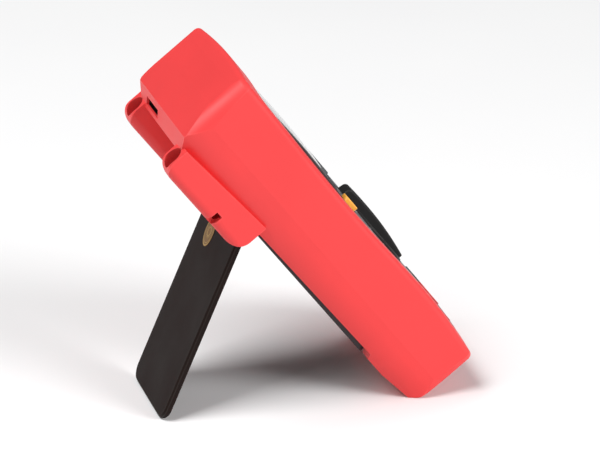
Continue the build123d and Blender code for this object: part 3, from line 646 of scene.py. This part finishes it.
yellow_cap = moulded(
    "yellow_cap", linear(246, 172, 58), 0.4, 0.4, 0.02, tone=0.04, edge_wear_and_highlight=linear(255, 205, 120), edge_wear_and_highlight_amount=0.4,
)
finish_in(yellow_cap, "select_button")
blue_cap = moulded(
    "blue_cap", linear(60, 96, 150), 0.4, 0.4, 0.02, tone=0.05, edge_wear_and_highlight=linear(120, 150, 190), edge_wear_and_highlight_amount=0.4,
)
finish_in(blue_cap, "backlight_button")
grey_cap = moulded(
    "grey_cap", linear(70, 72, 76), 0.45, 0.4, 0.03, tone=0.06, edge_wear_and_highlight=linear(120, 122, 126), edge_wear_and_highlight_amount=0.4,
)
finish_in(grey_cap, "range_button", "relative_button", "frequency_button", "hold_button")
mat_rubber = moulded("mat_rubber", linear(70, 70, 72), 0.7, 0.4, 0.04, tone=0.08)
finish_in(mat_rubber, "keypad_mat")

# A ring of rays for the lamp on the blue cap, and a letter or a sign on each grey one.
LAMP_RAYS = 8
CAP_INK = 0.02
CAP_LETTER_HEIGHT = 3.4
lamp_tree, lamp_sockets = repeated_mark("lamp_rays", white_ink)
rays = grown(
    lamp_tree, lamp_sockets, marks=LAMP_RAYS, circle_radius=1.7, first_angle=0.0,
    step=math.tau / LAMP_RAYS, mark_length=0.7, mark_width=0.3,
)
rays.transform(Matrix.Translation((*part_middle("backlight_button"), 0)))
lay_on(rays, surface_of("backlight_button"), CAP_INK)
new_piece("lamp_mark", rays, white_ink, "backlight_button")

for name, word in (("range", "R"), ("relative", "Δ"), ("frequency", "Hz"), ("hold", "H")):
    button = name + "_button"
    across, along = part_middle(button)
    cap_print = lettering([(word, across, along, CAP_LETTER_HEIGHT)])
    lay_on(cap_print, surface_of(button), CAP_INK)
    new_piece(name + "_mark", cap_print, white_ink, button)


# ---- The sockets ----
# Four brass sleeves in deep shrouds, each with a coloured moulded collar round its mouth: black
# for the common one and red for the others.

socket_brass = moulded("socket_brass", linear(214, 176, 98), 0.3, 0.5, 0.01, tone=0.06)
socket_brass.node_tree.nodes["Principled BSDF"].inputs["Metallic"].default_value = 1.0
finish_in(socket_brass, "amps_jack", "milliamps_jack", "common_jack", "volts_jack")
collar_red = moulded(
    "collar_red", linear(196, 40, 40), 0.42, 0.4, 0.02, tone=0.05, edge_wear_and_highlight=linear(226, 110, 108), edge_wear_and_highlight_amount=0.4,
)
finish_in(collar_red, "jack_collars")
collar_black = moulded(
    "collar_black", linear(30, 30, 32), 0.42, 0.4, 0.02, tone=0.08, edge_wear_and_highlight=linear(90, 90, 92), edge_wear_and_highlight_amount=0.4,
)
finish_in(collar_black, "common_jack_collar")


# ---- The stand ----
# A flat leg of near-black plastic with chamfered edges, hung on two steel pins between the
# holster's holders. A gold foil oval, printed with rings and rays, is stuck on its outer side.

# The lighter edges of the stand are partly wear and partly a painted highlight on its chamfers.
stand_plastic = moulded(
    "stand_plastic", linear(25, 13, 10), 0.55, 0.7, 0.06, tone=0.1, specular=0.13,
    edge_wear_and_highlight=linear(70, 68, 64), edge_wear_and_highlight_amount=0.7,
)
finish_in(stand_plastic, "stand")
bright_steel = moulded("bright_steel", linear(190, 192, 196), 0.32, 0.4, 0.01, tone=0.05)
bright_steel.node_tree.nodes["Principled BSDF"].inputs["Metallic"].default_value = 1.0
finish_in(bright_steel, "stand_pins")
gold_foil = moulded("gold_foil", linear(138, 100, 46), 0.38, 0.5, 0.02, tone=0.14)
gold_foil.node_tree.nodes["Principled BSDF"].inputs["Metallic"].default_value = 0.75
finish_in(gold_foil, "stand_sticker")
pale_gold = moulded("pale_gold", linear(186, 150, 84), 0.4, 0.5, 0.02, tone=0.1)
pale_gold.node_tree.nodes["Principled BSDF"].inputs["Metallic"].default_value = 0.6

FOIL_INK = 0.02
FOIL_RAYS = 20
BAND_STEPS = 64
foil = frame["nodes"]["stand_sticker"].data
foil_outside = max(foil.polygons, key=lambda face: face.area * max(0.0, face.normal.y))
foil_normal = foil_outside.normal.normalized()
foil_up = foil_normal.cross(across_face).normalized()
foil_points = [v.co for v in foil.vertices]
foil_centre = sum(foil_points, Vector()) / len(foil_points)
foil_lift = max((p - foil_centre).dot(foil_normal) for p in foil_points) + FOIL_INK * MM
foil_half_width = max(abs((p - foil_centre).dot(across_face)) for p in foil_points) / MM
foil_half_length = max(abs((p - foil_centre).dot(foil_up)) for p in foil_points) / MM
FOIL = standing_at(foil_centre + foil_normal * foil_lift, across_face, foil_up, foil_normal)


def on_oval(share, angle):
    """A point of the oval that has this share of the foil's size."""
    return foil_half_width * share * math.cos(angle), foil_half_length * share * math.sin(angle)


def oval_band(outer, inner):
    """A flat elliptical band between two shares of the foil's size."""
    angles = [math.tau * step / BAND_STEPS for step in range(BAND_STEPS + 1)]
    return [
        [on_oval(outer, a), on_oval(outer, b), on_oval(inner, b), on_oval(inner, a)]
        for a, b in zip(angles, angles[1:])
    ]


foil_tree, foil_sockets = repeated_mark("foil_rays", pale_gold)
foil_rays = grown(
    foil_tree, foil_sockets, marks=FOIL_RAYS, circle_radius=2.7, first_angle=0.0,
    step=math.tau / FOIL_RAYS, mark_length=1.3, mark_width=0.28,
)
foil_print = flat_mesh(oval_band(0.97, 0.88) + oval_band(0.78, 0.74) + oval_band(0.34, 0.26))
joined_foil = bmesh.new()
joined_foil.from_mesh(foil_print)
joined_foil.from_mesh(foil_rays)
joined_foil.to_mesh(foil_print)
joined_foil.free()
foil_print.transform(FOIL @ MILLIMETRES)
new_piece("foil_print", foil_print, pale_gold, "stand")


# ---- The data port ----
# A slot through the rubber at the back of the head, with a dark window at its bottom. A thin sheet
# of painted shade lines its walls, where the rubber inside the slot lies in shadow; the window's
# red-black is partly its own dark colour and partly painted shade.

# Near-black with a red cast: the window's own dark colour together with painted shade inside the slot;
# the sheet on the walls uses it too.
port_dark_and_shade = moulded("port_dark_and_shade", linear(14, 6, 6), 0.6, 0.5, 0.005, tone=0.1, specular=0.1)
finish_in(port_dark_and_shade, "data_port_window")

PORT_SHADE_DEPTH = 2.3
PORT_SHADE_GAP = 0.05
port_out = (up_face - out_of_face).normalized()
port_across = port_out.cross(across_face)
port_points = [v.co for v in frame["nodes"]["data_port_window"].data.vertices]
port_middle = sum(port_points, Vector()) / len(port_points)
half_length, half_width, window_face = (
    max((p - port_middle).dot(way) for p in port_points) / MM
    for way in (across_face, port_across, port_out)
)
half_length += PORT_SHADE_GAP
half_width += PORT_SHADE_GAP
shade_corners = [
    (half_length, half_width), (-half_length, half_width),
    (-half_length, -half_width), (half_length, -half_width),
]
# A thin dark sheet on the slot's walls: painted shade for the shadow inside the slot.
port_shade_sheet = bpy.data.meshes.new("port_painted_shade")
port_shade_sheet.from_pydata(
    [(x, y, z) for z in (window_face, window_face + PORT_SHADE_DEPTH) for x, y in shade_corners],
    [],
    [(i, i + 4, (i + 1) % 4 + 4, (i + 1) % 4) for i in range(4)],
)
PORT = standing_at(port_middle, across_face, port_across, port_out)
port_shade_sheet.transform(PORT @ MILLIMETRES)
new_piece("port_painted_shade", port_shade_sheet, port_dark_and_shade, "case")


# ---- Inside ----
# The green board with its chips, capacitors, fuses and battery, the rotary switch behind the
# knob, and the screws. They show only through the openings or with the case open.

board_green = moulded("board_green", linear(30, 92, 56), 0.4, 1.2, 0.02, tone=0.18)
finish_in(board_green, "main_board")
chip_black = moulded("chip_black", linear(30, 30, 32), 0.5, 0.4, 0.03, tone=0.1)
finish_in(chip_black, "measuring_chips", "capacitors")
fuse_white = moulded("fuse_white", linear(222, 218, 206), 0.4, 0.4, 0.01, tone=0.05)
finish_in(fuse_white, "high_current_fuse", "low_current_fuse")
battery_wrap = moulded("battery_wrap", linear(58, 62, 70), 0.35, 0.5, 0.01, tone=0.08)
finish_in(battery_wrap, "battery")
thermistor_blue = moulded("thermistor_blue", linear(34, 60, 98), 0.5, 0.4, 0.02, tone=0.08)
finish_in(thermistor_blue, "thermistors")
finish_in(diffuser_white, "switch_rotor", "detent_ring")
finish_in(socket_brass, "fuse_clips", "rotor_contacts", "buzzer")
finish_in(collar_black, "battery_snap")
finish_in(
    bright_steel, "battery_door_screw", "case_screws", "board_screws", "detent_balls",
    "detent_springs", "current_shunt",
)
